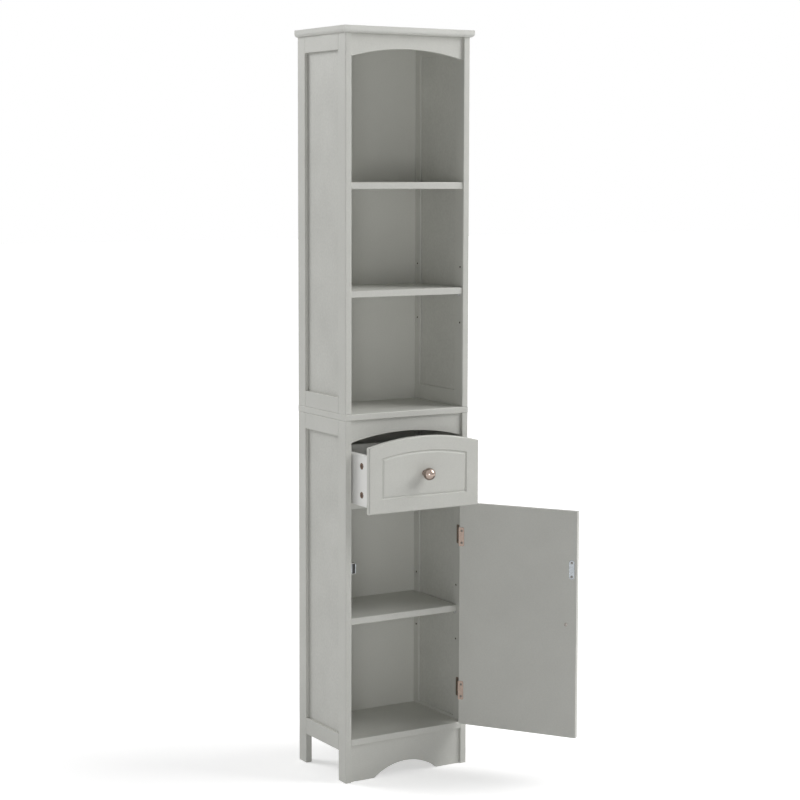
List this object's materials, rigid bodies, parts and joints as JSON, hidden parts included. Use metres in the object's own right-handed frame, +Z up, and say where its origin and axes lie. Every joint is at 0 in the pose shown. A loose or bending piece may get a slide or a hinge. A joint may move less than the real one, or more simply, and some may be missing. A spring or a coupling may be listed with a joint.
{
  "type": "tall bathroom cabinet",
  "caption": "Tall narrow painted bathroom cabinet: open shelves above, an arched drawer and a hinged door below, panelled sides, short legs and an arched apron.",
  "frame": {"origin": "the middle of the front left leg's foot, on the floor: the centre of the end face of the lower left front stile", "axes": "+Z up, -Y towards the front with the drawer and door, +X to the right seen from the front, where the door is hinged"},
  "size_m": [0.4906, 0.4746, 1.7],
  "materials": {
    "painted_board": "light warm grey satin paint over fibreboard, with a very fine orange-peel",
    "back_panel": "light warm grey painted hardboard",
    "drawer_board": "pale grey-white laminate on fibreboard",
    "drawer_bottom": "pale painted hardboard",
    "knob_metal": "polished nickel plate",
    "hinge_metal": "satin nickel plate",
    "screw_metal": "bright zinc plate",
    "pin_metal": "nickel plate",
    "cam_metal": "dark bronze-coloured cast zinc",
    "dowel_wood": "plain beech",
    "catch_steel": "bright zinc plate",
    "magnet": "dark bonded ferrite",
    "catch_plastic": "off-white moulded plastic"
  },
  "bodies": {
    "cabinet": {"apron": "painted_board", "bottom_board": "painted_board", "cabinet_hinge_leaves": "hinge_metal", "cabinet_screws": "screw_metal", "carcass_cam_bolts": "screw_metal", "carcass_cam_locks": "cam_metal", "crown_board": "painted_board", "drawer_divider_board": "painted_board", "frame_dowels": "dowel_wood", "hinge_pins": "hinge_metal", "lower_back_panel": "back_panel", "lower_left_back_stile": "painted_board", "lower_left_bottom_rail": "painted_board", "lower_left_front_stile": "painted_board", "lower_left_panel": "painted_board", "lower_left_top_rail": "painted_board", "lower_right_back_stile": "painted_board", "lower_right_bottom_rail": "painted_board", "lower_right_front_stile": "painted_board", "lower_right_panel": "painted_board", "lower_right_top_rail": "painted_board", "lower_shelf": "painted_board", "lower_valance": "painted_board", "magnet_catch_body": "catch_plastic", "magnet_catch_magnet": "magnet", "magnet_catch_poles": "catch_steel", "middle_board": "painted_board", "middle_shelf": "painted_board", "shelf_pins": "pin_metal", "top_shelf": "painted_board", "upper_back_panel": "back_panel", "upper_left_back_stile": "painted_board", "upper_left_bottom_rail": "painted_board", "upper_left_front_stile": "painted_board", "upper_left_panel": "painted_board", "upper_left_top_rail": "painted_board", "upper_right_back_stile": "painted_board", "upper_right_bottom_rail": "painted_board", "upper_right_front_stile": "painted_board", "upper_right_panel": "painted_board", "upper_right_top_rail": "painted_board", "upper_valance": "painted_board"},
    "drawer": {"drawer_back": "drawer_board", "drawer_back_screws": "screw_metal", "drawer_bottom": "drawer_bottom", "drawer_cam_bolts": "screw_metal", "drawer_cam_locks": "cam_metal", "drawer_front": "painted_board", "drawer_knob": "knob_metal", "drawer_knob_screw": "screw_metal", "drawer_left_side": "drawer_board", "drawer_right_side": "drawer_board"},
    "door": {"door_hinge_leaves": "hinge_metal", "door_knob": "knob_metal", "door_knob_screw": "screw_metal", "door_panel": "painted_board", "door_screws": "screw_metal", "strike_plate": "catch_steel"}
  },
  "joints": [
    {"name": "drawer_slide", "type": "slide", "parent": "cabinet", "child": "drawer", "axis": [0, -1, 0], "range_m": [-0.074, 0.056]},
    {"name": "door_hinge", "type": "hinge", "parent": "cabinet", "child": "door", "pos_m": [0.3, -0.02, 0.3625], "axis": [0, 0, 1], "range_deg": [-124, 51]}
  ]
}
